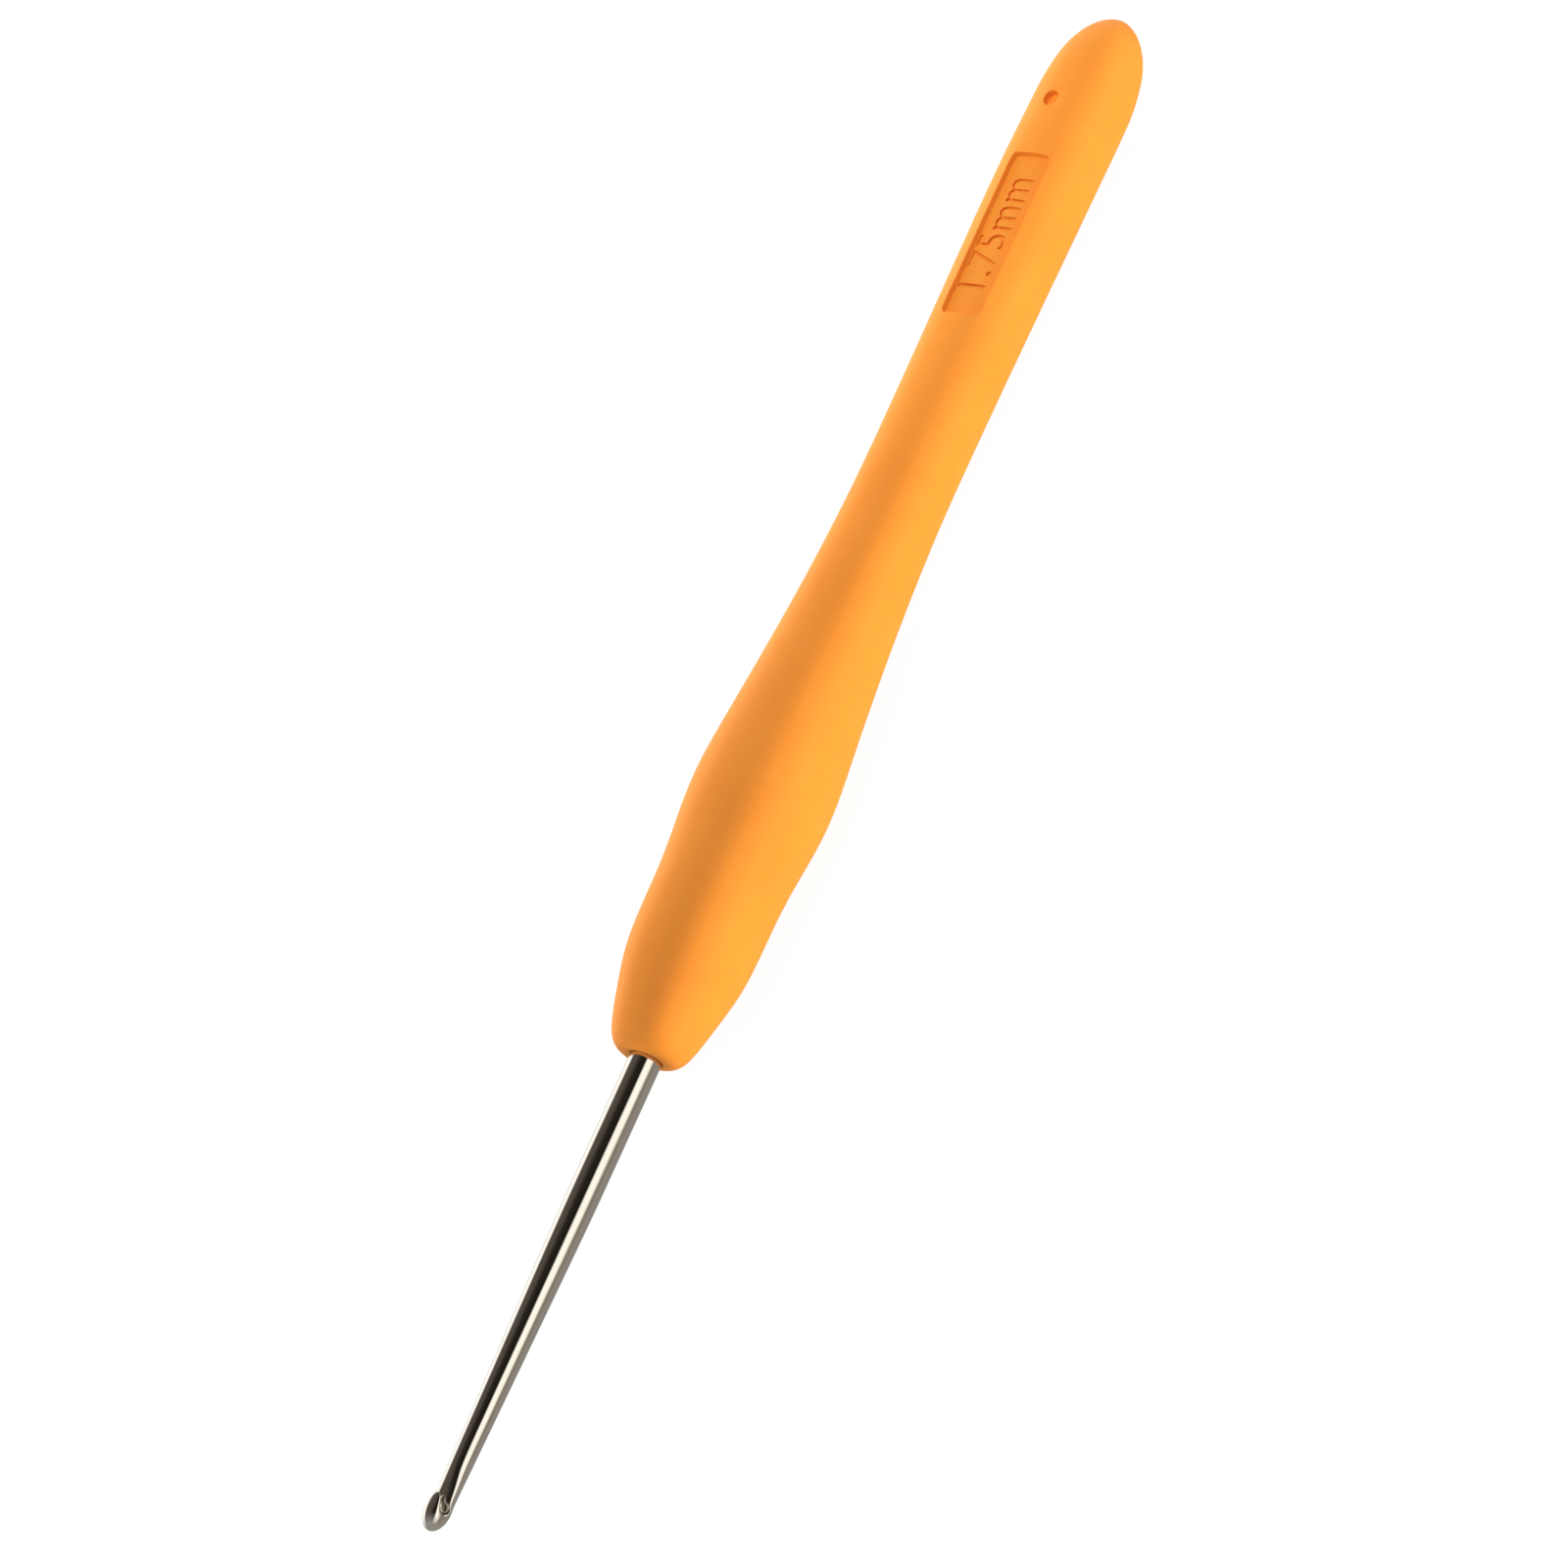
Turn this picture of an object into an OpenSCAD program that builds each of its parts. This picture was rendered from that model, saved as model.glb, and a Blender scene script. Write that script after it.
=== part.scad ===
// Soft-grip crochet hook, size 1.75 mm, in three pieces: a formed steel hook,
// a rigid core moulded over the hook's tang, and a soft skin moulded over the core.
//
// +X runs along the steel shaft towards the hook tip. +Z points out of the thumb face,
// which is the side that the hook's mouth opens on. The origin is on the shaft's axis,
// where the shaft leaves the grip, so the whole grip lies at negative X.

/* [Steel shaft] */
// Diameter of the wire where it leaves the grip
shaft_d = 2.5; // [2.2:0.05:2.8]
// Length of steel outside the grip, hook head included
shaft_out = 39.5; // [32:0.5:50]
// Length of plain round shaft next to the grip
plain_len = 13; // [8:0.5:18]
// Diameter just behind the head, which is the size of the hook
neck_d = 1.75; // [1.5:0.05:2]
// Length of wire held inside the grip
tang_len = 45; // [40:0.5:47]
// Diameter of that wire, ground slimmer so that the plastic grips its shoulder
tang_d = 2.1; // [1.8:0.05:2.1]

/* [Hook head] */
// Diameter of the head at its fattest
head_d = 1.95; // [1.85:0.05:2]
// Length of the rounded nose in front of the fattest place
nose_len = 1.85; // [1.6:0.05:2.1]
// Distance from the tip back to the point of the lip
lip_back = 2.85; // [2.7:0.05:3.1]
// Distance from the tip back to the middle of the throat's round bottom
throat_back = 1.87; // [1.8:0.02:2]
// Radius of the round bottom of the throat
throat_r = 0.28; // [0.24:0.01:0.3]

/* [Grip] */
// Length of the soft grip
grip_len = 90.5; // [86:0.5:100]
// Widest place of the grip, at the bulge under the thumb
bulge_w = 10.75; // [10:0.25:12]
// Thickness of the grip at the bulge
bulge_t = 9.5; // [9:0.25:11]
// Width of the slim waist behind the bulge
waist_w = 7.5; // [7:0.25:8.5]
// Thickness of the waist
waist_t = 6.1; // [6:0.1:7]
// How square the section is: 2 is an ellipse, more is squarer
squareness = 2.4; // [2:0.1:3]

/* [Size plate] */
// Length of the sunk plate that carries the size
plate_len = 14.3; // [10:0.5:15]
// Width of the sunk plate
plate_w = 3.7; // [3:0.1:4.2]
// Depth of the plate below the crown of the thumb face
plate_depth = 0.45; // [0.3:0.05:0.6]
// Distance from the nose of the grip to the near end of the plate
plate_from = 62.6; // [60:0.2:65]

/* [Mould pin holes] */
// Diameter of the holes that the mould's hold-down pins leave
pin_hole_d = 1.25; // [1:0.05:1.5]
// Distance from the nose of the grip to the pin holes
pin_hole_from = 82; // [80:0.5:83]

/* [Rigid core] */
// Width of the core's spine
spine_w = 5.2; // [4.8:0.1:5.6]
// Thickness of the core's spine
spine_t = 4; // [3.8:0.1:4.2]
// Width of the core inside the bulge
block_w = 6.6; // [6:0.1:7]
// Thickness of the core inside the bulge
block_t = 5.6; // [5:0.1:6]
// Number of collars around the core inside the bulge
collar_count = 4; // [2:1:4]
// Number of holes through the spine that lock the skin to it
lock_hole_count = 3; // [1:1:3]
// Diameter of those holes
lock_hole_d = 2; // [1.5:0.1:2.2]

/* [Hidden] */
$fn = 64;

// Grip outline: distance from the nose, then width, thickness and height of the middle.
GRIP = [
    [0, 5.95, 5.25, 0.4],
    [3, 7.3, 6.5, 0.4],
    [8, 9.3, 8.3, 0.4],
    [15, 9.6, 8.6, 0.35],
    [22, bulge_w, bulge_t, 0.3],
    [30, 9.45, 8.25, 0.3],
    [38, 8.25, 7, 0.25],
    [47, waist_w, waist_t, 0.2],
    [56, waist_w, waist_t - 0.1, 0.15],
    [66, 7.7, 6.1, 0.1],
    [76, 7.9, 6.2, 0],
    [83, 7.7, 6.2, -0.2],
    [grip_len, 7.2, 5.8, -0.15]
];
LAST = len(GRIP) - 1;
nose_round = 1.5;
nose_face = 0.62;
tail_round = 6.2;
ring_points = 32;
flat_scale = pow(cos(180 / ring_points), 2 / squareness);
nose_rings = 6;
body_rings = 34;
tail_rings = 9;

neck_from = shaft_out - 5.5;
head_from = shaft_out - 2.9;
nose_from = shaft_out - nose_len;
head_lift = 0.26;
head_steps = 12;
lip_z = 1.02;
lip_angle = 52;
throat_z = 0.45;
shelf_z = 0.6;
shelf_back = 0.4;
sliver = 0.02;

wing_w = 3.6;
wing_t = 1.3;
wing_len = 4;
wing_at = [-38, -28];

core_from = -3;
core_to = -86;
block_from = -6;
block_to = -32;
collar_w = 7.6;
collar_t = 6.6;
collar_len = 1.5;
collar_pitch = 6;
collar_first = -10;
lock_first = -50;
lock_pitch = 6;
pad_d = 2.4;
pad_depth = 0.9;
past = 1;

// Slope of column k of the outline at station i: a line through its two neighbours.
function slope(i, k) = (i == 0 || i == LAST) ? 0
    : (GRIP[i + 1][k] - GRIP[i - 1][k]) / (GRIP[i + 1][0] - GRIP[i - 1][0]);

// The station that a distance t from the nose comes after.
function station(t, i = 0) = (i >= LAST - 1 || t < GRIP[i + 1][0]) ? i : station(t, i + 1);

// A smooth curve between station values a and b, with slopes sa and sb over the step h.
function ease(u, h, a, b, sa, sb) =
    (2 * u * u * u - 3 * u * u + 1) * a
    + (u * u * u - 2 * u * u + u) * h * sa
    + (3 * u * u - 2 * u * u * u) * b
    + (u * u * u - u * u) * h * sb;

// Column k of the outline at a distance t from the nose.
function along(t, k) =
    let (i = station(t), h = GRIP[i + 1][0] - GRIP[i][0], u = (t - GRIP[i][0]) / h)
    ease(u, h, GRIP[i][k], GRIP[i + 1][k], slope(i, k), slope(i + 1, k));

// How much the rounded ends draw the outline in.
function quarter(u) = sqrt(max(0, 1 - u * u));
function end_scale(t) =
    t < nose_round ? nose_face + (1 - nose_face) * quarter(1 - t / nose_round)
    : t > grip_len - tail_round ? quarter((t - grip_len + tail_round) / tail_round)
    : 1;

// Rings crowd together towards the rounded ends.
RING_AT = concat(
    [for (i = [0 : nose_rings - 1]) nose_round * (1 - cos(90 * i / nose_rings))],
    [for (i = [0 : body_rings])
        nose_round + (grip_len - tail_round - nose_round) * i / body_rings],
    [for (i = [1 : tail_rings - 1]) grip_len - tail_round * (1 - sin(90 * i / tail_rings))]
);

// One ring of the grip, a superellipse. A flat of its polygon, not a corner, lies along
// each crown and each side, so that the grip rests on its back without rocking.
function power(v, e) = sign(v) * pow(abs(v), e);
function grip_ring(t) = [
    for (i = [0 : ring_points - 1])
        let (a = 360 * (i + 0.5) / ring_points, f = end_scale(t) / 2 / flat_scale)
        [
            -t,
            along(t, 1) * f * power(cos(a), 2 / squareness),
            along(t, 3) + along(t, 2) * f * power(sin(a), 2 / squareness)
        ]
];

// Height of the thumb face, side 1, or of the back, side -1, at a distance t from the nose.
function crown(t, side) = along(t, 3) + side * along(t, 2) * end_scale(t) / 2;

// Outer shape of the grip: rings joined into a closed skin, with a fan at each end.
module grip_outline() {
    n = ring_points;
    rings = len(RING_AT);
    points = concat(
        [for (t = RING_AT) each grip_ring(t)],
        [[0, 0, along(0, 3)], [-grip_len, 0, along(grip_len, 3)]]
    );
    sides = [
        for (r = [0 : rings - 2]) for (i = [0 : n - 1])
            let (a = r * n + i, b = r * n + (i + 1) % n)
            each [[a, b, b + n], [a, b + n, a + n]]
    ];
    nose_fan = [for (i = [0 : n - 1]) [rings * n, (i + 1) % n, i]];
    tail_fan = [
        for (i = [0 : n - 1])
            [rings * n + 1, (rings - 1) * n + i, (rings - 1) * n + (i + 1) % n]
    ];
    polyhedron(points = points, faces = concat(sides, nose_fan, tail_fan), convexity = 4);
}

// A round bar along X, from x0 to x1.
module bar(x0, x1, d) {
    translate([min(x0, x1), 0, 0]) rotate([0, 90, 0]) cylinder(d = d, h = abs(x1 - x0));
}

// A round bar along X that changes diameter from d0 at x0 to d1 at x1.
module taper(x0, x1, d0, d1) {
    translate([x0, 0, 0]) rotate([0, 90, 0]) cylinder(d1 = d0, d2 = d1, h = x1 - x0);
}

// A bar along X with flat faces above and below and round edges at the sides.
module oval_bar(x0, x1, w, t) {
    side = (w - t) / 2;
    translate([min(x0, x1), -side, -t / 2]) cube([abs(x1 - x0), 2 * side, t]);
    for (s = [-1, 1]) translate([0, s * side, 0]) bar(x0, x1, t);
}

// The wire inside the grip, with two places pressed flat so that it can't turn or pull out.
module tang() {
    bar(-tang_len, 0, tang_d);
    for (x = wing_at)
        translate([x - wing_len / 2, -wing_w / 2, -wing_t / 2]) cube([wing_len, wing_w, wing_t]);
}

// Rounded nose of the head: half an ellipse turned about the shaft's axis.
module head_nose() {
    r = head_d / 2;
    arc = [
        for (i = [0 : head_steps])
            [r * cos(90 * i / head_steps), nose_len * sin(90 * i / head_steps)]
    ];
    translate([nose_from, 0, 0]) rotate([0, 90, 0]) rotate_extrude() polygon(concat([[0, 0]], arc));
}

// The cut that makes the throat: a shallow ramp down the neck, then a round-bottomed slot
// that runs back and up under the lip.
module throat() {
    middle = [shaft_out - throat_back, throat_z];
    lip_x = shaft_out - lip_back;
    rotate([90, 0, 0]) translate([0, 0, -shaft_d]) linear_extrude(2 * shaft_d) {
        translate(middle) circle(r = throat_r);
        polygon([
            middle - [throat_r, 0],
            [middle[0] - shelf_back, shelf_z],
            [neck_from, neck_d / 2 + sliver],
            [neck_from, shaft_d],
            [lip_x, shaft_d],
            [lip_x, lip_z],
            middle + throat_r * [cos(lip_angle), sin(lip_angle)]
        ]);
    }
}

// The neck swells into the head, which stands a little proud on the thumb side.
module swell() {
    hull() {
        bar(neck_from, neck_from + sliver, neck_d);
        translate([0, 0, head_lift]) bar(head_from - sliver, head_from, head_d);
    }
}

// Formed steel hook: head, neck, taper, plain shaft and tang in one piece.
module hook_shaft() {
    color("silver") difference() {
        union() {
            tang();
            bar(0, plain_len, shaft_d);
            taper(plain_len, neck_from, shaft_d, neck_d);
            swell();
            translate([0, 0, head_lift]) bar(head_from, nose_from, head_d);
            translate([0, 0, head_lift]) head_nose();
        }
        throat();
    }
}

// Outside of the core, without the pocket for the tang.
module core_body() {
    oval_bar(core_from, core_to + spine_w / 2, spine_w, spine_t);
    translate([core_to + spine_w / 2, 0, -spine_t / 2]) cylinder(d = spine_w, h = spine_t);
    oval_bar(block_from, block_to, block_w, block_t);
    for (i = [0 : collar_count - 1]) {
        x = collar_first - i * collar_pitch;
        oval_bar(x, x - collar_len, collar_w, collar_t);
    }
    pad_top = crown(pin_hole_from, 1) - pad_depth;
    pad_foot = crown(pin_hole_from, -1) + pad_depth;
    translate([-pin_hole_from, 0, pad_foot]) cylinder(d = pad_d, h = pad_top - pad_foot);
}

// The holes that the skin fills to lock itself to the spine.
module lock_holes() {
    for (i = [0 : lock_hole_count - 1])
        translate([lock_first - i * lock_pitch, 0, -spine_t])
            cylinder(d = lock_hole_d, h = 2 * spine_t);
}

module core_with_holes() {
    difference() {
        core_body();
        lock_holes();
    }
}

// Rigid core, moulded over the tang.
module handle_core() {
    color("darkorange") difference() {
        core_with_holes();
        tang();
    }
}

// Soft skin, moulded over the core, with the shaft's socket, the plate and the pin holes.
module grip_skin() {
    plate_mid = plate_from + plate_len / 2;
    color("orange") difference() {
        grip_outline();
        core_with_holes();
        bar(core_from - past, past, tang_d);
        translate([-plate_from - plate_len, -plate_w / 2, crown(plate_mid, 1) - plate_depth])
            cube([plate_len, plate_w, bulge_t]);
        translate([-pin_hole_from, 0, crown(pin_hole_from, -1) - past])
            cylinder(d = pin_hole_d, h = along(pin_hole_from, 2) + 2 * past);
    }
}

hook_shaft();
handle_core();
grip_skin();
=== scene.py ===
"""Soft-grip crochet hook, size 1.75 mm: a polished steel hook, a rigid core on its tang,
and a soft orange skin moulded over both, with a sunk plate that carries the size.

+X runs along the shaft to the hook tip, +Z out of the thumb face. Shapes are worked out
in millimetres and brought to metres when they are finished.
"""
import math
from collections import namedtuple

import bmesh
import bpy
from mathutils import Matrix, Vector


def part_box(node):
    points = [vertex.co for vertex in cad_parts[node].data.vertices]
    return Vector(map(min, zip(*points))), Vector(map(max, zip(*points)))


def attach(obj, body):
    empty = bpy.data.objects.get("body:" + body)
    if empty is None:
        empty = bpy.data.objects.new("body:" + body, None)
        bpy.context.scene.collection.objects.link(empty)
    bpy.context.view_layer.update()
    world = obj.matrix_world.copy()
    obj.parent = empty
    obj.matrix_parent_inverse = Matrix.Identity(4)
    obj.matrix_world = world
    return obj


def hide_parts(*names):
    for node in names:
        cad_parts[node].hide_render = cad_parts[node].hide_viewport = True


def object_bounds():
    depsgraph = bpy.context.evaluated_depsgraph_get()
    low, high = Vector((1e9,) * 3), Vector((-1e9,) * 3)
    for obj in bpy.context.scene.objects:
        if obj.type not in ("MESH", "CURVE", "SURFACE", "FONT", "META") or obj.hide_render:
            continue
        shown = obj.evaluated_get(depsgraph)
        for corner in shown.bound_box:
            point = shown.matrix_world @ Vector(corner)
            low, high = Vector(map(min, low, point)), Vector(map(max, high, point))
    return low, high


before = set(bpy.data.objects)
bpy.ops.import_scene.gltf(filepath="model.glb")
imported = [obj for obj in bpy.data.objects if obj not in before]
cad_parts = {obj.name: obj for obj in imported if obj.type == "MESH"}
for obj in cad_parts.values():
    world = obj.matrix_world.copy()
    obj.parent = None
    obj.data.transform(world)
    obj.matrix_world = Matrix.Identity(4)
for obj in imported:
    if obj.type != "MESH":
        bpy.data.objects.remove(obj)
CAD_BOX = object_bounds()

MM = 0.001
WHITE = (1, 1, 1, 1)
SHAFT_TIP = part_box("hook_shaft")[1][0] / MM
TANG_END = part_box("hook_shaft")[0][0] / MM
GRIP_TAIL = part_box("grip_skin")[0][0] / MM
BULGE_W = 2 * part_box("grip_skin")[1][1] / MM
FLOOR_Z = CAD_BOX[0][2]

# Corners of every ring that a piece is grown from, and how often its faces are halved
RING_CORNERS = 32
SMOOTHING = 2

# Steel hook. The shoulder is the step from the tang up to the shaft, inside the grip.
SHAFT_D = 2.5
NECK_D = 1.75
TANG_D = 2.1
SHOULDER_AT = -0.65
SHOULDER_LEN = 0.1
FLATS_AT = (-38, -28)
FLAT_LEN = 4
FLAT_W = 3.6
FLAT_T = 1.3
PLAIN_LEN = 13
TAPER_STEPS = 6
NECK_FROM = SHAFT_TIP - 5.5

# Grip outline: distance from the nose, then width, thickness and height of the middle.
GRIP_LEN = -GRIP_TAIL
GRIP = (
    (0, 5.95, 5.25, 0.16),
    (3, 7.3, 6.5, 0.25),
    (8, 9.3, 8.3, 0.33),
    (15, 9.6, 8.6, 0.35),
    (22, BULGE_W, 9.5, 0.3),
    (30, 9.45, 8.25, 0.3),
    (38, 8.25, 7, 0.25),
    (47, 7.5, 6.1, 0.2),
    (56, 7.5, 6, 0.15),
    (66, 7.7, 6.1, 0.1),
    (76, 7.9, 6.2, 0),
    (83, 7.7, 6.2, -0.2),
    (GRIP_LEN, 7.2, 5.8, -0.15),
)
# How square the section is: 2 is an ellipse, more is squarer.
SQUARENESS = 2.4
NOSE_ROUND = 1.5
NOSE_FACE = 0.62
TAIL_ROUND = 6.2
SOCKET_D = SHAFT_D + 0.03

# Size plate, its letters and the mould pin holes. What is aside lies that far off the
# middle, towards +Y.
PLATE_FROM = 62.6
PLATE_LEN = 14.3
PLATE_W = 3.8
PLATE_ASIDE = 0.28
PLATE_DEPTH = 0.45
PLATE_CELLS = 11
# The letters are slimmed along the grip. Their blocks reach up out of the plate's floor.
LETTER_SIZE = 3.85
LETTER_SLIM = 0.82
LETTER_FROM = PLATE_FROM + 1.9
LETTER_FOOT = PLATE_ASIDE + PLATE_W / 2 - 0.95
LETTER_DEPTH = 0.24
LETTER_HALF_BLOCK = 0.6
PIN_HOLE_FROM = 81.8
PIN_HOLE_ASIDE = -0.45
PIN_HOLE_D = 1.25
PIN_HOLE_DEPTH = 0.55

# Where the camera stands: tilted towards the tip, turned from the thumb face towards the
# side, and rolled.
VIEW_TILT = 19.0
VIEW_TURN = 43.2
VIEW_ROLL = 24.5
LOOK_AT = Vector((-23.925, 0.6145, -0.5771)) * MM
CAMERA_FAR = 1.0
LENS = 310.5
SENSOR = 36.0

# Brightness of the room, of what mirrors see of it, and of the floor
ROOM_LIGHT = 0.5
MIRROR_LIGHT = 1.35
ROOM_GREY = "#8E8B86"
FLOOR_SEEN = 1.06
FLOOR_CAST = 0.3
FLOOR_GLOW_SHARE = 0.9
FLOOR_SIZE = 6


# ---------------------------------------------------------------- small helpers

Ring = namedtuple("Ring", "x z tilt wide up down")


def level_ring(x, wide, tall, z=0.0):
    """An upright ring across the shaft, the same above and below its middle."""
    return Ring(x, z, 0.0, wide, tall / 2, tall / 2)


def select_only(piece):
    """Makes one piece the active one and the only one selected."""
    bpy.ops.object.select_all(action="DESELECT")
    bpy.context.view_layer.objects.active = piece
    piece.select_set(True)


def edit(piece):
    """Enters edit mode on one piece, with nothing selected."""
    select_only(piece)
    bpy.ops.object.mode_set(mode="EDIT")
    bpy.ops.mesh.select_mode(type="VERT")
    bpy.ops.mesh.select_all(action="DESELECT")


def leave_edit():
    """Goes back to object mode."""
    bpy.ops.object.mode_set(mode="OBJECT")


def pick(piece, kind, test):
    """Selects only the corners, VERT, or the faces, FACE, whose middle passes the test."""
    bpy.ops.mesh.select_mode(type=kind)
    bpy.ops.mesh.select_all(action="DESELECT")
    shape = bmesh.from_edit_mesh(piece.data)
    for element in shape.verts if kind == "VERT" else shape.faces:
        middle = element.co if kind == "VERT" else element.calc_center_median()
        if test(middle):
            element.select_set(True)
    shape.select_flush_mode()
    bmesh.update_edit_mesh(piece.data)


def picked_corners(piece):
    """The numbers of the corners that are selected."""
    return [corner.index for corner in bmesh.from_edit_mesh(piece.data).verts if corner.select]


def pick_among(piece, numbers, test):
    """Of the corners with these numbers, selects those whose place passes the test."""
    shape = bmesh.from_edit_mesh(piece.data)
    shape.verts.ensure_lookup_table()
    for number in numbers:
        shape.verts[number].select_set(test(shape.verts[number].co))
    shape.select_flush_mode()
    bmesh.update_edit_mesh(piece.data)


def anywhere(at):
    """A test that every place passes."""
    return True


def modify(piece, kind, **settings):
    """Adds a modifier and applies it at once."""
    select_only(piece)
    made = piece.modifiers.new(kind.title(), kind)
    for name, value in settings.items():
        setattr(made, name, value)
    bpy.ops.object.modifier_apply(modifier=made.name)


def smooth_out(piece):
    """Turns the coarse cage of rings into a smooth surface."""
    modify(
        piece, "SUBSURF", levels=SMOOTHING, render_levels=SMOOTHING, use_limit_surface=True)


def finish_piece(piece, name, material, sharp_from):
    """Brings a piece from millimetres to metres, gives it its material and shades it
    smooth, apart from edges sharper than so many degrees."""
    select_only(piece)
    piece.name = piece.data.name = name
    piece.scale = (MM, MM, MM)
    bpy.ops.object.transform_apply(location=True, rotation=True, scale=True)
    bpy.ops.object.shade_smooth_by_angle(angle=math.radians(sharp_from))
    piece.data.materials.clear()
    piece.data.materials.append(material)
    return piece


# ---------------------------------------------------------------- rings

def drawn_out(rings):
    """Rings drawn larger by as much as smoothing shrinks a ring of so many corners."""
    out = 6 / (4 + 2 * math.cos(2 * math.pi / RING_CORNERS))
    return [ring._replace(wide=ring.wide * out, up=ring.up * out, down=ring.down * out) for ring in rings]


def start_ring(ring):
    """The first ring of a piece, closed by a face and left selected in edit mode."""
    bpy.ops.object.select_all(action="DESELECT")
    bpy.ops.mesh.primitive_circle_add(
        vertices=RING_CORNERS, radius=1, location=(ring.x, 0, ring.z), rotation=(0, math.pi / 2, 0))
    piece = bpy.context.object
    bpy.ops.object.transform_apply(location=True, rotation=True, scale=True)
    edit(piece)
    bpy.ops.mesh.select_all(action="SELECT")
    bpy.ops.transform.resize(
        value=(1, ring.wide / 2, ring.up), center_override=(ring.x, 0, ring.z))
    bpy.ops.mesh.edge_face_add()
    pick(piece, "VERT", anywhere)
    return piece


def grow_ring(piece, was, now):
    """Extrudes the selected ring and turns the copy from ring was into ring now."""
    bpy.ops.mesh.extrude_region_move()
    middle = (was.x, 0, was.z)
    if was.tilt:
        bpy.ops.transform.rotate(
            value=math.radians(-was.tilt), orient_axis="Y", center_override=middle)
    if now.up * was.down == now.down * was.up:
        bpy.ops.transform.resize(
            value=(1, now.wide / was.wide, now.up / was.up), center_override=middle)
    else:
        bpy.ops.transform.resize(value=(1, now.wide / was.wide, 1), center_override=middle)
        ring = picked_corners(piece)
        for side, factor in ((1, now.up / was.up), (-1, now.down / was.down)):
            pick_among(piece, ring, lambda at: side * (at.z - was.z) > 0)
            bpy.ops.transform.resize(value=(1, 1, factor), center_override=middle)
        pick_among(piece, ring, anywhere)
    if now.tilt:
        bpy.ops.transform.rotate(
            value=math.radians(now.tilt), orient_axis="Y", center_override=middle)
    bpy.ops.transform.translate(value=(now.x - was.x, 0, now.z - was.z))


def grow_through(piece, rings):
    """Extrudes the selected ring through all the rings of a list, from its first one."""
    for was, now in zip(rings, rings[1:]):
        grow_ring(piece, was, now)


def close_end():
    """Draws a last copy of the selected ring together into one point, and turns the whole
    shell's faces outwards."""
    bpy.ops.mesh.extrude_region_move()
    bpy.ops.mesh.merge(type="CENTER")
    bpy.ops.mesh.select_all(action="SELECT")
    bpy.ops.mesh.normals_make_consistent(inside=False)


# ---------------------------------------------------------------- materials

def linear(hex_colour):
    """An sRGB hex colour as linear RGBA."""
    channels = [int(hex_colour[i:i + 2], 16) / 255 for i in (1, 3, 5)]
    lit = [c / 12.92 if c <= 0.04045 else ((c + 0.055) / 1.055) ** 2.4 for c in channels]
    return (*lit, 1.0)


def add_node(tree, kind, inputs=None, stops=None, **settings):
    """Adds a node. Each input is a value, or an output socket that it is linked to. A
    colour ramp also has stops: place from 0 to 1, then colour."""
    made = tree.nodes.new(kind)
    for name, value in settings.items():
        setattr(made, name, value)
    for name, value in (inputs or {}).items():
        if isinstance(value, bpy.types.NodeSocket):
            tree.links.new(value, made.inputs[name])
        else:
            made.inputs[name].default_value = value
    if stops:
        ramp = made.color_ramp.elements
        ramp.remove(ramp[-1])
        ramp[0].position, ramp[0].color = stops[0]
        for place, colour in stops[1:]:
            ramp.new(place).color = colour
    return made


def new_material(name):
    """An empty node material and its node tree."""
    material = bpy.data.materials.new(name)
    material.use_nodes = True
    material.node_tree.nodes.clear()
    return material, material.node_tree


def moulded_rubber():
    """Thermoplastic rubber, injection moulded in a spark-eroded tool. It is matte and a
    little translucent: light goes in and comes out more saturated, so hollows glow deep
    orange, and only a broad soft sheen stays on the surface."""
    material, tree = new_material("tpr_moulded_orange")
    place = add_node(tree, "ShaderNodeTexCoord").outputs["Object"]
    # Pigment flow, a few millimetres long and hardly seen.
    flow = add_node(tree, "ShaderNodeTexNoise", {"Vector": place, "Scale": 1 / (6 * MM), "Detail": 2.0})
    pigment = add_node(
        tree, "ShaderNodeValToRGB", {"Fac": flow.outputs["Fac"]},
        stops=[(0.35, linear("#F4932D")), (0.65, linear("#F6962F"))])
    # The eroded tool leaves a grain of about 0.05 mm, drawn at 0.18 mm so that it shows.
    grain = add_node(tree, "ShaderNodeTexNoise", {
        "Vector": place, "Scale": 1 / (0.18 * MM), "Detail": 3.0, "Roughness": 0.6})
    relief = add_node(tree, "ShaderNodeBump", {
        "Height": grain.outputs["Fac"], "Strength": 0.12, "Distance": 0.02 * MM})
    dull = add_node(tree, "ShaderNodeMapRange", {
        "Value": grain.outputs["Fac"], "From Min": 0.3, "From Max": 0.7, "To Min": 0.5, "To Max": 0.62})
    shader = add_node(tree, "ShaderNodeBsdfPrincipled", {
        "Base Color": pigment.outputs["Color"],
        "Roughness": dull.outputs["Result"],
        "Normal": relief.outputs["Normal"],
        "IOR": 1.48,
        "Subsurface Weight": 0.3,
        "Subsurface Radius": (1.0, 0.35, 0.08),
        "Subsurface Scale": 0.3 * MM,
    })
    add_node(tree, "ShaderNodeOutputMaterial", {"Surface": shader.outputs["BSDF"]})
    return material


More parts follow.
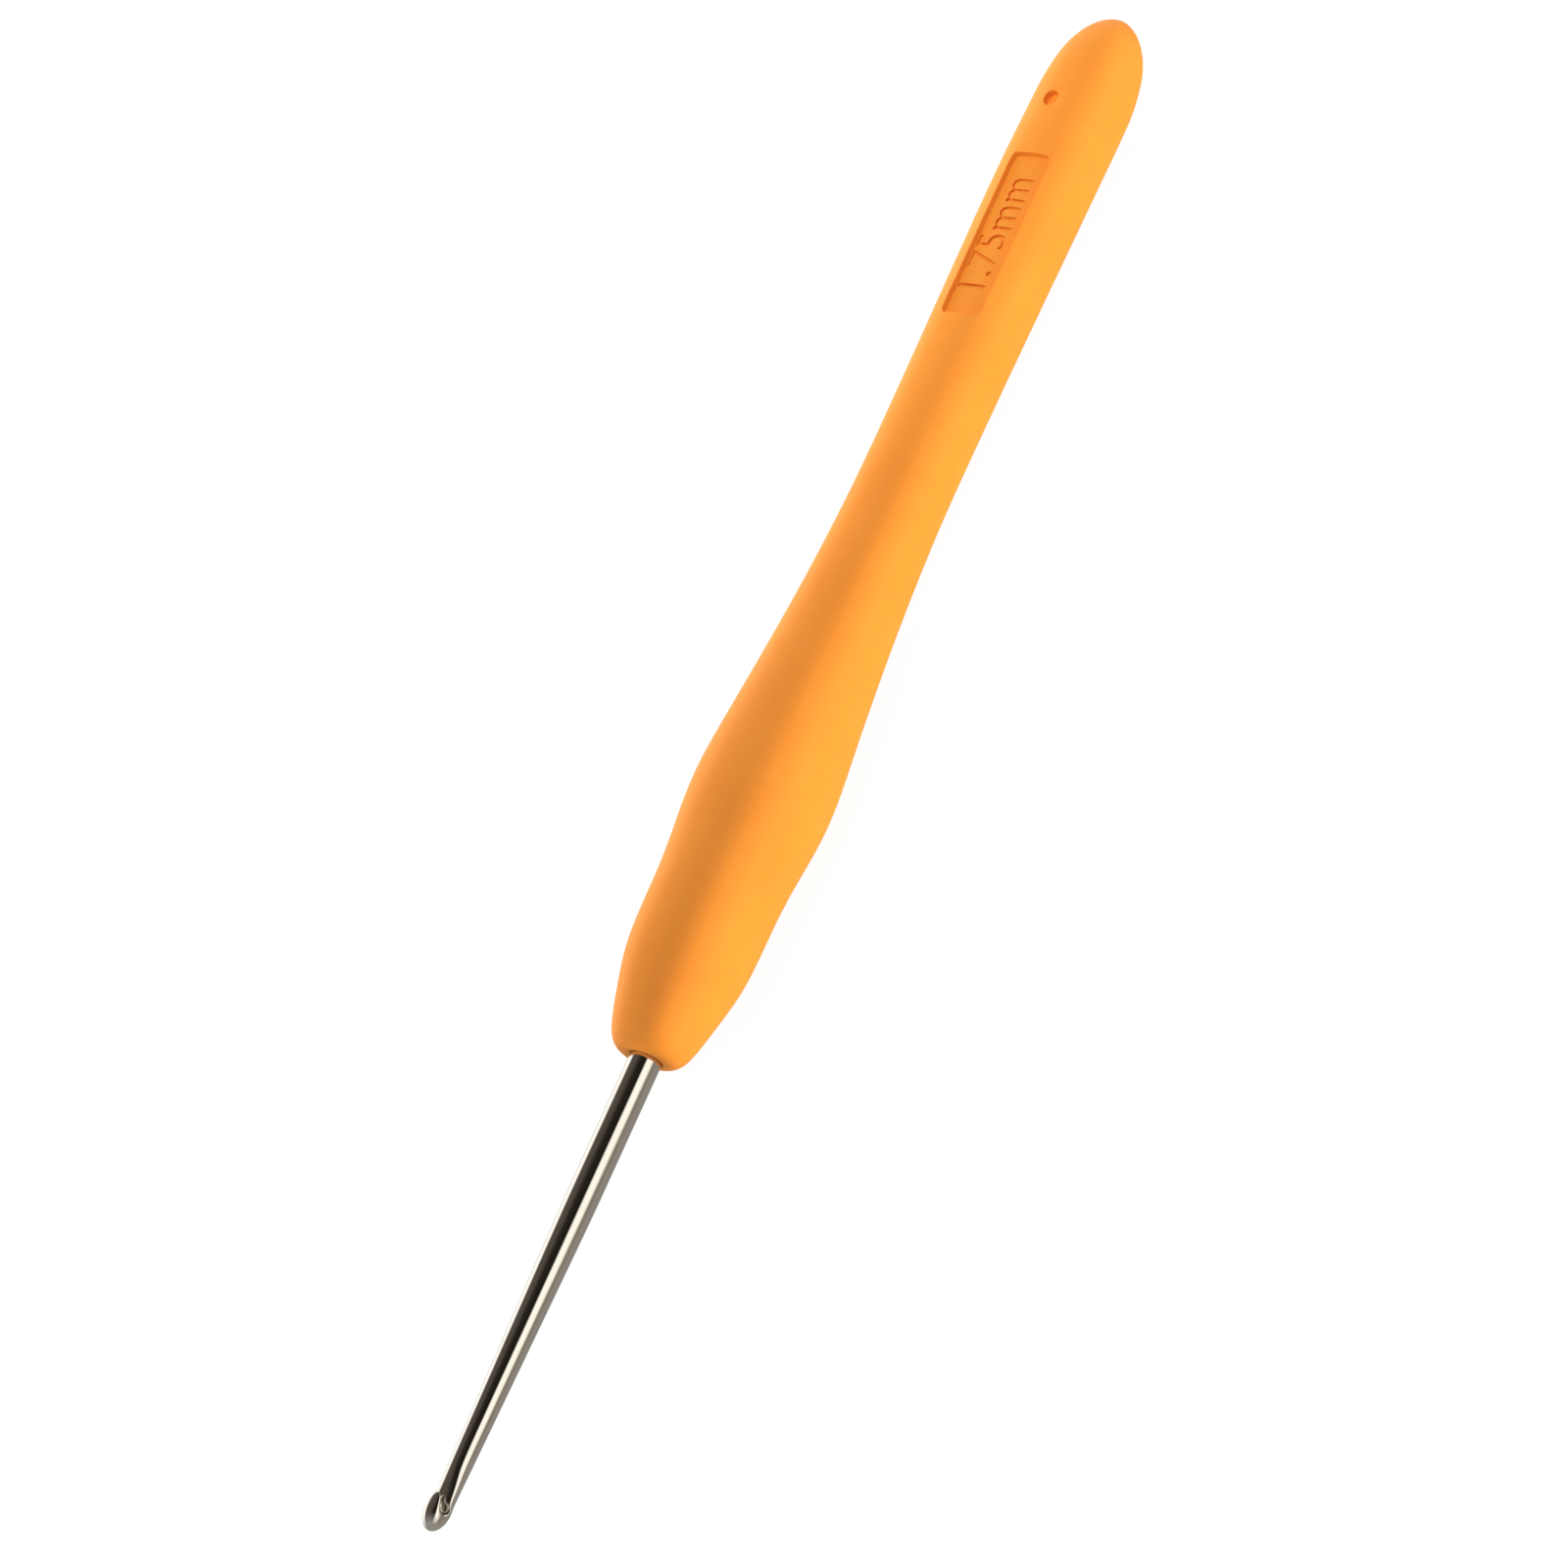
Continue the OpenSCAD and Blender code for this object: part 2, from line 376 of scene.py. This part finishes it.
def polished_steel():
    """Drawn steel wire, formed, barrel polished and nickel plated. It is a mirror with
    a warm grey tone, and faint draw lines soften its reflections along the shaft."""
    material, tree = new_material("nickel_plated_steel_polished")
    place = add_node(tree, "ShaderNodeTexCoord").outputs["Object"]
    # Draw lines about 0.04 mm apart, drawn out along the wire.
    stretched = add_node(tree, "ShaderNodeMapping", {
        "Vector": place, "Scale": (40, 1 / (0.04 * MM), 1 / (0.04 * MM))})
    lines = add_node(tree, "ShaderNodeTexNoise", {
        "Vector": stretched.outputs["Vector"], "Scale": 1.0, "Detail": 2.0})
    tone = add_node(
        tree, "ShaderNodeValToRGB", {"Fac": lines.outputs["Fac"]},
        stops=[(0.3, linear("#DAD6CF")), (0.7, linear("#E2DED7"))])
    haze = add_node(tree, "ShaderNodeMapRange", {
        "Value": lines.outputs["Fac"], "From Min": 0.3, "From Max": 0.7, "To Min": 0.03, "To Max": 0.07})
    shader = add_node(tree, "ShaderNodeBsdfPrincipled", {
        "Base Color": tone.outputs["Color"],
        "Roughness": haze.outputs["Result"],
        "Metallic": 1.0,
    })
    add_node(tree, "ShaderNodeOutputMaterial", {"Surface": shader.outputs["BSDF"]})
    return material


def moulded_core():
    """Polypropylene, injection moulded: waxy, semi-gloss, with faint flow marks."""
    material, tree = new_material("polypropylene_moulded_orange")
    place = add_node(tree, "ShaderNodeTexCoord").outputs["Object"]
    flow = add_node(tree, "ShaderNodeTexNoise", {"Vector": place, "Scale": 1 / (3 * MM), "Detail": 3.0})
    pigment = add_node(
        tree, "ShaderNodeValToRGB", {"Fac": flow.outputs["Fac"]},
        stops=[(0.3, linear("#F0770A")), (0.7, linear("#F9830F"))])
    shader = add_node(tree, "ShaderNodeBsdfPrincipled", {
        "Base Color": pigment.outputs["Color"],
        "Roughness": 0.38,
        "IOR": 1.49,
        "Subsurface Weight": 0.2,
        "Subsurface Radius": (1.0, 0.4, 0.1),
        "Subsurface Scale": 0.8 * MM,
    })
    add_node(tree, "ShaderNodeOutputMaterial", {"Surface": shader.outputs["BSDF"]})
    return material


def white_table():
    """A white sweep lit from below: it stays white to the eye, with only a faint shadow
    where the hook lies on it, and lights the hook no more than grey paper would."""
    material, tree = new_material("white_sweep")
    paper = add_node(tree, "ShaderNodeBsdfDiffuse", {"Color": linear("#F4F4F4")})
    ray = add_node(tree, "ShaderNodeLightPath")
    seen = add_node(tree, "ShaderNodeEmission", {"Color": WHITE, "Strength": FLOOR_SEEN})
    cast = add_node(tree, "ShaderNodeEmission", {"Color": WHITE, "Strength": FLOOR_CAST})
    glow = add_node(tree, "ShaderNodeMixShader", {
        "Fac": ray.outputs["Is Camera Ray"],
        1: cast.outputs["Emission"],
        2: seen.outputs["Emission"],
    })
    both = add_node(tree, "ShaderNodeMixShader", {
        "Fac": FLOOR_GLOW_SHARE,
        1: paper.outputs["BSDF"],
        2: glow.outputs["Shader"],
    })
    add_node(tree, "ShaderNodeOutputMaterial", {"Surface": both.outputs["Shader"]})
    return material


# ---------------------------------------------------------------- steel hook

# Each row of the head is a slice of the wire: the inner side, which faces the throat, as x
# and z, then the outer side as x and z, the width, and how far from the inner side to the
# outer one the slice is widest. x is measured back from the tip.
HEAD = (
    ((5.5, 0.875), (5.5, -0.875), 1.75, 0.5),
    ((4.6, 0.80), (4.6, -0.82), 1.81, 0.45),
    ((3.6, 0.71), (3.6, -0.76), 1.90, 0.4),
    ((2.9, 0.65), (2.9, -0.72), 1.94, 0.35),
    ((2.45, 0.60), (2.5, -0.72), 1.95, 0.32),
    ((2.22, 0.50), (2.15, -0.73), 1.95, 0.28),
    ((2.08, 0.28), (1.85, -0.73), 1.95, 0.24),
    ((1.87, 0.17), (1.45, -0.72), 1.93, 0.22),
    ((1.67, 0.22), (0.8, -0.62), 1.87, 0.22),
    ((1.57, 0.38), (0.2, -0.25), 1.78, 0.22),
    ((1.58, 0.52), (-0.02, 0.32), 1.67, 0.22),
    ((1.70, 0.67), (0.35, 0.92), 1.52, 0.25),
    ((1.90, 0.76), (1.15, 1.20), 1.36, 0.35),
    ((2.20, 0.84), (1.95, 1.26), 1.18, 0.42),
    ((2.50, 0.92), (2.42, 1.24), 0.95, 0.45),
    ((2.72, 0.99), (2.70, 1.18), 0.66, 0.5),
    ((2.84, 1.05), (2.84, 1.12), 0.30, 0.5),
)


def head_ring(inner, outer, wide, share):
    """A tilted ring from its inner and outer side, in the plane across the shaft's width."""
    x0, x1 = SHAFT_TIP - inner[0], SHAFT_TIP - outer[0]
    z0, z1 = inner[1], outer[1]
    long = math.hypot(x0 - x1, z0 - z1)
    tilt = math.degrees(math.atan2(x1 - x0, z0 - z1))
    return Ring(
        x0 + (x1 - x0) * share, z0 + (z1 - z0) * share, tilt,
        wide, long * share, long * (1 - share))


def make_steel_hook(material):
    """The wire in one piece: tang with two pressed flats, plain shaft, taper, then the neck,
    which runs out under the throat, round the nose and back along the lip."""
    rings = [level_ring(TANG_END + at, d, d) for at, d in ((0, 1.4), (0.12, 1.8), (0.5, TANG_D))]
    for middle in FLATS_AT:
        start, end = middle - FLAT_LEN / 2, middle + FLAT_LEN / 2
        rings += [
            level_ring(start - 1, TANG_D, TANG_D), level_ring(start, FLAT_W, FLAT_T),
            level_ring(end, FLAT_W, FLAT_T), level_ring(end + 1, TANG_D, TANG_D)]
    step_from, step_to = SHOULDER_AT - SHOULDER_LEN / 2, SHOULDER_AT + SHOULDER_LEN / 2
    rings += [level_ring(x, TANG_D, TANG_D) for x in (step_from - 0.2, step_from)]
    rings += [level_ring(x, SHAFT_D, SHAFT_D)
              for x in (step_to, step_to + 0.2, 0, 3, 6.5, 10, PLAIN_LEN - 0.5)]
    for i in range(1, TAPER_STEPS):
        d = SHAFT_D + (NECK_D - SHAFT_D) * i / TAPER_STEPS
        rings.append(level_ring(PLAIN_LEN + (NECK_FROM - PLAIN_LEN) * i / TAPER_STEPS, d, d))
    rings = drawn_out(rings + [head_ring(*row) for row in HEAD])
    piece = start_ring(rings[0])
    grow_through(piece, rings)
    close_end()
    leave_edit()
    smooth_out(piece)
    return finish_piece(piece, "steel_hook", material, sharp_from=60)


# ---------------------------------------------------------------- grip

def slope(i, k):
    """Slope of column k of the grip's outline at station i."""
    if i in (0, len(GRIP) - 1):
        return 0.0
    return (GRIP[i + 1][k] - GRIP[i - 1][k]) / (GRIP[i + 1][0] - GRIP[i - 1][0])


def along(t, k):
    """Column k of the outline at a distance t from the nose, on a smooth curve."""
    i = max(n for n in range(len(GRIP) - 1) if n == 0 or GRIP[n][0] <= t)
    h = GRIP[i + 1][0] - GRIP[i][0]
    u = (t - GRIP[i][0]) / h
    a, b, sa, sb = GRIP[i][k], GRIP[i + 1][k], slope(i, k) * h, slope(i + 1, k) * h
    return (
        (2 * u ** 3 - 3 * u ** 2 + 1) * a + (u ** 3 - 2 * u ** 2 + u) * sa
        + (3 * u ** 2 - 2 * u ** 3) * b + (u ** 3 - u ** 2) * sb)


def end_scale(t):
    """How much the rounded ends draw the outline in."""
    if t < NOSE_ROUND:
        return NOSE_FACE + (1 - NOSE_FACE) * math.sqrt(max(0, 1 - (1 - t / NOSE_ROUND) ** 2))
    if t > GRIP_LEN - TAIL_ROUND:
        return math.sqrt(max(0, 1 - ((t - GRIP_LEN + TAIL_ROUND) / TAIL_ROUND) ** 2))
    return 1.0


def grip_ring(t):
    """The grip's ring at a distance t from the nose."""
    return level_ring(-t, along(t, 1) * end_scale(t), along(t, 2) * end_scale(t), along(t, 3))


def crown(t):
    """Height of the thumb face at a distance t from the nose."""
    return along(t, 3) + along(t, 2) * end_scale(t) / 2


def grip_body():
    """The outside of the grip, from the shaft's socket over the nose to the closed tail."""
    socket = [level_ring(x, SOCKET_D, SOCKET_D) for x in (-1.6, -0.5, -0.16)]
    # The mouth of the socket flares into the face of the nose.
    socket += [
        level_ring(-0.04, SOCKET_D + 0.08, SOCKET_D + 0.08, 0.01),
        level_ring(-0.01, 2.85, 2.8, 0.03), level_ring(0.0, 3.4, 3.15, 0.06)]
    nose = [NOSE_ROUND * (1 - math.cos(math.radians(a))) for a in (14, 30, 46, 62, 78)]
    bulge = [2.0, 3.0, 4.2, 5.6, 7.2, 9, 11.5, 14, 16.5, 19, 21.5, 24, 27, 30, 33, 36.5, 40]
    waist = [44, 48, 52, 56, 59, 61.2]
    plate = [PLATE_FROM + PLATE_LEN * i / PLATE_CELLS for i in range(PLATE_CELLS + 1)]
    pins = [PIN_HOLE_FROM + d for d in (-3.6, -2.2, -1.0, 0, 1.0, 2.2)]
    tail = [GRIP_LEN - TAIL_ROUND * (1 - math.sin(math.radians(a)))
            for a in (20, 34, 46, 58, 68, 77, 84)]
    socket = drawn_out(socket)
    outside = drawn_out([grip_ring(t) for t in nose + bulge + waist + plate + pins + tail])
    piece = start_ring(socket[0])
    grow_through(piece, socket + outside[:1])
    square_ring(piece, outside[0])
    grow_through(piece, outside)
    close_end()
    return piece


def square_ring(piece, ring):
    """Pulls the selected ring's corners out to a superellipse, four alike at a time."""
    numbers = picked_corners(piece)
    shape = bmesh.from_edit_mesh(piece.data)
    shape.verts.ensure_lookup_table()
    alike = {}
    for number in numbers:
        at = shape.verts[number].co
        angle = math.atan2(abs(at.z - ring.z) / ring.up, abs(at.y) / (ring.wide / 2))
        alike.setdefault(round(math.degrees(angle), 1), []).append(number)
    pull = 2 / SQUARENESS - 1
    for degrees, four in alike.items():
        if not 1 < degrees < 89:
            continue
        pick_among(piece, numbers, lambda at: False)
        pick_among(piece, four, anywhere)
        angle = math.radians(degrees)
        bpy.ops.transform.resize(
            value=(1, math.cos(angle) ** pull, math.sin(angle) ** pull),
            center_override=(ring.x, 0, ring.z))
    pick_among(piece, numbers, anywhere)


def sink_plate(piece):
    """Presses the size plate into the thumb face, its floor curved like the grip."""
    near, far = -PLATE_FROM, -PLATE_FROM - PLATE_LEN
    half, aside = PLATE_W / 2, PLATE_ASIDE
    # The columns of corners along the plate's long sides are brought into line first. They
    # stand 1.4 to 2.1 mm out, where the face falls 0.3 mm in each millimetre.
    for i in range(PLATE_CELLS + 1):
        x = near - PLATE_LEN * i / PLATE_CELLS
        for side in (1, -1):
            pick(piece, "VERT", lambda at: (
                abs(at.x - x) < 0.1 and at.z > 1 and 1.4 < side * at.y < 2.1))
            shape = bmesh.from_edit_mesh(piece.data)
            stands = max(side * corner.co.y for corner in shape.verts if corner.select)
            out = half + side * aside - stands
            bpy.ops.transform.translate(value=(0, side * out, -0.3 * out))
    pick(piece, "FACE", lambda at: (
        far < at.x < near and abs(at.y - aside) < half and at.z > 1))
    bpy.ops.mesh.inset(thickness=0.05, depth=0.0, use_even_offset=True)
    middle = ((near + far) / 2, aside, 0)
    # The rim, the wall with its draft, and the foot.
    for down, narrow in ((0.04, 1.0), (PLATE_DEPTH - 0.08, 0.95), (0.04, 0.985)):
        bpy.ops.mesh.extrude_region_move(TRANSFORM_OT_translate={"value": (0, 0, -down)})
        bpy.ops.transform.resize(value=(1 - (1 - narrow) / 4, narrow, 1), center_override=middle)
    bpy.ops.mesh.inset(thickness=0.1, depth=0.0, use_even_offset=True)


def press_pin_hole(piece, side):
    """Sinks the hole of one hold-down pin, with a soft mouth, on face 1 or back -1."""
    x, y = -PIN_HOLE_FROM, PIN_HOLE_ASIDE if side > 0 else 0
    eighth = math.pi / 4
    # Smoothing shrinks a ring of eight corners by this much, and the mouth is a tenth wider.
    reach = PIN_HOLE_D / 2 * 6 / (4 + 2 * math.cos(eighth)) * 1.1
    pick(piece, "FACE", lambda at: (
        abs(at.x - x) < 1.2 and abs(at.y) < 1.2 and side * at.z > 1))
    bpy.ops.mesh.inset(thickness=0.28, depth=0.0, use_even_offset=True)
    # The eight corners of the mouth are put on a circle, each at its own eighth.
    shape = bmesh.from_edit_mesh(piece.data)
    for corner in [corner for corner in shape.verts if corner.select]:
        out = Vector((corner.co.x - x, corner.co.y))
        if out.length < 0.1:
            corner.co.y += y
            continue
        angle = round(math.atan2(out.y, out.x) / eighth) * eighth
        corner.co.x, corner.co.y = x + reach * math.cos(angle), y + reach * math.sin(angle)
    bmesh.update_edit_mesh(piece.data)
    middle = (x, y, 0)
    # The mouth, then the wall, which narrows towards its foot.
    for down, narrow in ((0.05, 0.94), (0.12, 0.96), (PIN_HOLE_DEPTH - 0.17, 0.92)):
        bpy.ops.mesh.extrude_region_move(TRANSFORM_OT_translate={"value": (0, 0, -side * down)})
        bpy.ops.transform.resize(value=(narrow, narrow, 1), center_override=middle)
    bpy.ops.mesh.inset(thickness=0.12, depth=0.0, use_even_offset=True)


def size_letters():
    """The size in plain letters, as closed blocks that stand in the plate's floor."""
    bpy.ops.object.select_all(action="DESELECT")
    bpy.ops.object.text_add()
    text = bpy.context.object
    text.data.body = "1.75mm"
    text.data.size = LETTER_SIZE
    text.data.extrude = LETTER_HALF_BLOCK
    text.data.space_character = 1.02
    text.data.align_x = "LEFT"
    text.data.resolution_u = 6
    bpy.ops.object.convert(target="MESH")
    text = bpy.context.object
    select_only(text)
    text.rotation_euler = (0, 0, math.pi)
    text.location = (-LETTER_FROM, LETTER_FOOT, 0)
    bpy.ops.object.transform_apply(location=True, rotation=True, scale=True)
    edit(text)
    bpy.ops.mesh.select_all(action="SELECT")
    bpy.ops.mesh.remove_doubles(threshold=0.0001)
    bpy.ops.transform.resize(value=(LETTER_SLIM, 1, 1), center_override=(-LETTER_FROM, 0, 0))
    floor = crown(PLATE_FROM + PLATE_LEN / 2) - PLATE_DEPTH
    bpy.ops.transform.translate(value=(0, 0, floor + LETTER_HALF_BLOCK - LETTER_DEPTH))
    bpy.ops.mesh.normals_make_consistent(inside=False)
    leave_edit()
    return text


def make_grip(material):
    """The soft skin: body, sunk plate, pin holes, then the size cut into the plate."""
    piece = grip_body()
    sink_plate(piece)
    press_pin_hole(piece, 1)
    press_pin_hole(piece, -1)
    leave_edit()
    smooth_out(piece)
    letters = size_letters()
    modify(piece, "BOOLEAN", operation="DIFFERENCE", object=letters, solver="EXACT")
    bpy.data.objects.remove(letters, do_unlink=True)
    return finish_piece(piece, "soft_grip", material, sharp_from=42)


# ---------------------------------------------------------------- studio

# The studio round the shaft, as it is mirrored in the steel: degrees round the shaft from
# the camera's side, then the brightness of the card or wall there.
CARDS = (
    (-180, "#8A8885"),
    (-160, "#A09E9B"),
    (-148, "#FFFEFA"),
    (-108, "#FFFEFA"),
    (-98, "#544D46"),
    (-60, "#4D4740"),
    (-42, "#2D2823"),
    (-28, "#231F1B"),
    (3, "#1A1714"),
    (14, "#FFFEF6"),
    (45, "#FFFCF2"),
    (55, "#C6BFB2"),
    (63, "#756D63"),
    (72, "#837C74"),
    (100, "#8D8781"),
    (125, "#84817C"),
    (150, "#8A8885"),
    (180, "#8A8885"),
)


def camera_axes():
    """Towards the camera, along the shaft as it is seen, and across it."""
    tilt, turn = math.radians(VIEW_TILT), math.radians(VIEW_TURN)
    towards = Vector((
        math.sin(tilt), math.cos(tilt) * math.sin(turn), math.cos(tilt) * math.cos(turn)))
    shaft = Vector((1, 0, 0))
    seen = (shaft - towards.x * towards).normalized()
    return towards, seen, towards.cross(seen)


def set_camera():
    """The camera, with the hook's tail up and to the right of its head."""
    towards, seen, across = camera_axes()
    roll = math.radians(VIEW_ROLL)
    right = -math.sin(roll) * seen + math.cos(roll) * across
    up = -math.cos(roll) * seen - math.sin(roll) * across
    data = bpy.data.cameras.new("camera")
    data.sensor_width = SENSOR
    data.lens = LENS
    data.clip_start, data.clip_end = 0.01, 20
    camera = bpy.data.objects.new("camera", data)
    bpy.context.collection.objects.link(camera)
    camera.matrix_world = Matrix.Translation(LOOK_AT + towards * CAMERA_FAR) @ Matrix(
        (right, up, towards)).transposed().to_4x4()
    bpy.context.scene.camera = camera


def set_world():
    """White behind the object, even grey light all round it, and the cards for mirrors."""
    world = bpy.data.worlds.new("studio")
    world.use_nodes = True
    tree = world.node_tree
    tree.nodes.clear()
    turn = math.radians(VIEW_TURN)
    ahead = (0.0, math.sin(turn), math.cos(turn))
    aside = (0.0, math.cos(turn), -math.sin(turn))
    way = add_node(tree, "ShaderNodeTexCoord").outputs["Generated"]
    dots = [add_node(tree, "ShaderNodeVectorMath", {0: way, 1: axis}, operation="DOT_PRODUCT")
            for axis in (aside, ahead)]
    angle = add_node(tree, "ShaderNodeMath", {
        0: dots[0].outputs["Value"], 1: dots[1].outputs["Value"]}, operation="ARCTAN2")
    place = add_node(tree, "ShaderNodeMapRange", {
        "Value": angle.outputs["Value"], "From Min": -math.pi, "From Max": math.pi})
    cards = add_node(
        tree, "ShaderNodeValToRGB", {"Fac": place.outputs["Result"]},
        stops=[((degrees + 180) / 360, linear(colour)) for degrees, colour in CARDS])
    # The cards end in front of the tip, where the grey of the room takes over.
    split = add_node(tree, "ShaderNodeSeparateXYZ", {"Vector": way})
    end = add_node(tree, "ShaderNodeMapRange", {
        "Value": split.outputs["X"], "From Min": 0.1, "From Max": 0.8})
    # A Mix node's sockets for colours are its inputs 6 and 7 and its output 2.
    blend = add_node(tree, "ShaderNodeMix", {
        0: end.outputs["Result"], 6: cards.outputs["Color"], 7: linear(ROOM_GREY)}, data_type="RGBA")
    ray = add_node(tree, "ShaderNodeLightPath")
    mirrored = add_node(tree, "ShaderNodeBackground", {
        "Color": blend.outputs[2], "Strength": MIRROR_LIGHT})
    room = add_node(tree, "ShaderNodeBackground", {"Color": WHITE, "Strength": ROOM_LIGHT})
    behind = add_node(tree, "ShaderNodeBackground", {"Color": WHITE, "Strength": 1.0})
    lit = add_node(tree, "ShaderNodeMixShader", {
        "Fac": ray.outputs["Is Glossy Ray"],
        1: room.outputs["Background"],
        2: mirrored.outputs["Background"],
    })
    all_rays = add_node(tree, "ShaderNodeMixShader", {
        "Fac": ray.outputs["Is Camera Ray"],
        1: lit.outputs["Shader"],
        2: behind.outputs["Background"],
    })
    add_node(tree, "ShaderNodeOutputWorld", {"Surface": all_rays.outputs["Shader"]})
    bpy.context.scene.world = world


# Soft lamps: name, degrees round the shaft from the camera's side, place along X and
# distance in metres, size along and across the shaft, power.
LAMPS = (
    ("key_softbox", 60, -0.025, 0.8, (1.6, 0.4), 12.1),
    ("back_strip", -128, -0.025, 0.7, (1.4, 0.4), 7.7),
    ("tail_fill_near", -48, -0.085, 0.08, (0.02, 0.02), 0.02),
    ("tail_fill_far", -48, -0.085, 0.15, (0.04, 0.04), 0.042),
)


def set_lamps():
    """Soft lamps, each aimed square at the shaft's line. The mirror cards stand for them
    in reflections, so they aren't seen themselves."""
    shaft = Vector((1, 0, 0))
    turn = math.radians(VIEW_TURN)
    ahead = Vector((0, math.sin(turn), math.cos(turn)))
    aside = Vector((0, math.cos(turn), -math.sin(turn)))
    for name, degrees, x, far, size, power in LAMPS:
        angle = math.radians(degrees)
        way = math.cos(angle) * ahead + math.sin(angle) * aside
        data = bpy.data.lights.new(name, "AREA")
        data.shape = "RECTANGLE"
        data.size, data.size_y = size
        data.energy = power
        lamp = bpy.data.objects.new(name, data)
        bpy.context.collection.objects.link(lamp)
        turned = Matrix((shaft, way.cross(shaft), way)).transposed().to_4x4()
        lamp.matrix_world = Matrix.Translation(way * far + shaft * x) @ turned
        lamp.visible_glossy = False
        lamp.visible_camera = False


def lay_floor():
    """The floor under the hook, level with the lowest place of the grip."""
    bpy.ops.object.select_all(action="DESELECT")
    bpy.ops.mesh.primitive_plane_add(size=FLOOR_SIZE, location=(0, 0, FLOOR_Z))
    floor = bpy.context.object
    floor.name = floor.data.name = "floor"
    bpy.ops.object.transform_apply(location=True, rotation=True, scale=True)
    floor.data.materials.append(white_table())
    # It is neither mirrored in the steel nor in the way of the lamps, which reach below it.
    floor.visible_glossy = False
    floor.visible_shadow = False


# ---------------------------------------------------------------- the whole

hook = make_steel_hook(polished_steel())
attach(hook, "root")
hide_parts("hook_shaft")

grip = make_grip(moulded_rubber())
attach(grip, "root")
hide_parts("grip_skin")

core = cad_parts["handle_core"]
core.data.materials.clear()
core.data.materials.append(moulded_core())

lay_floor()
set_world()
set_lamps()
set_camera()
bpy.context.scene.view_settings.view_transform = "Standard"
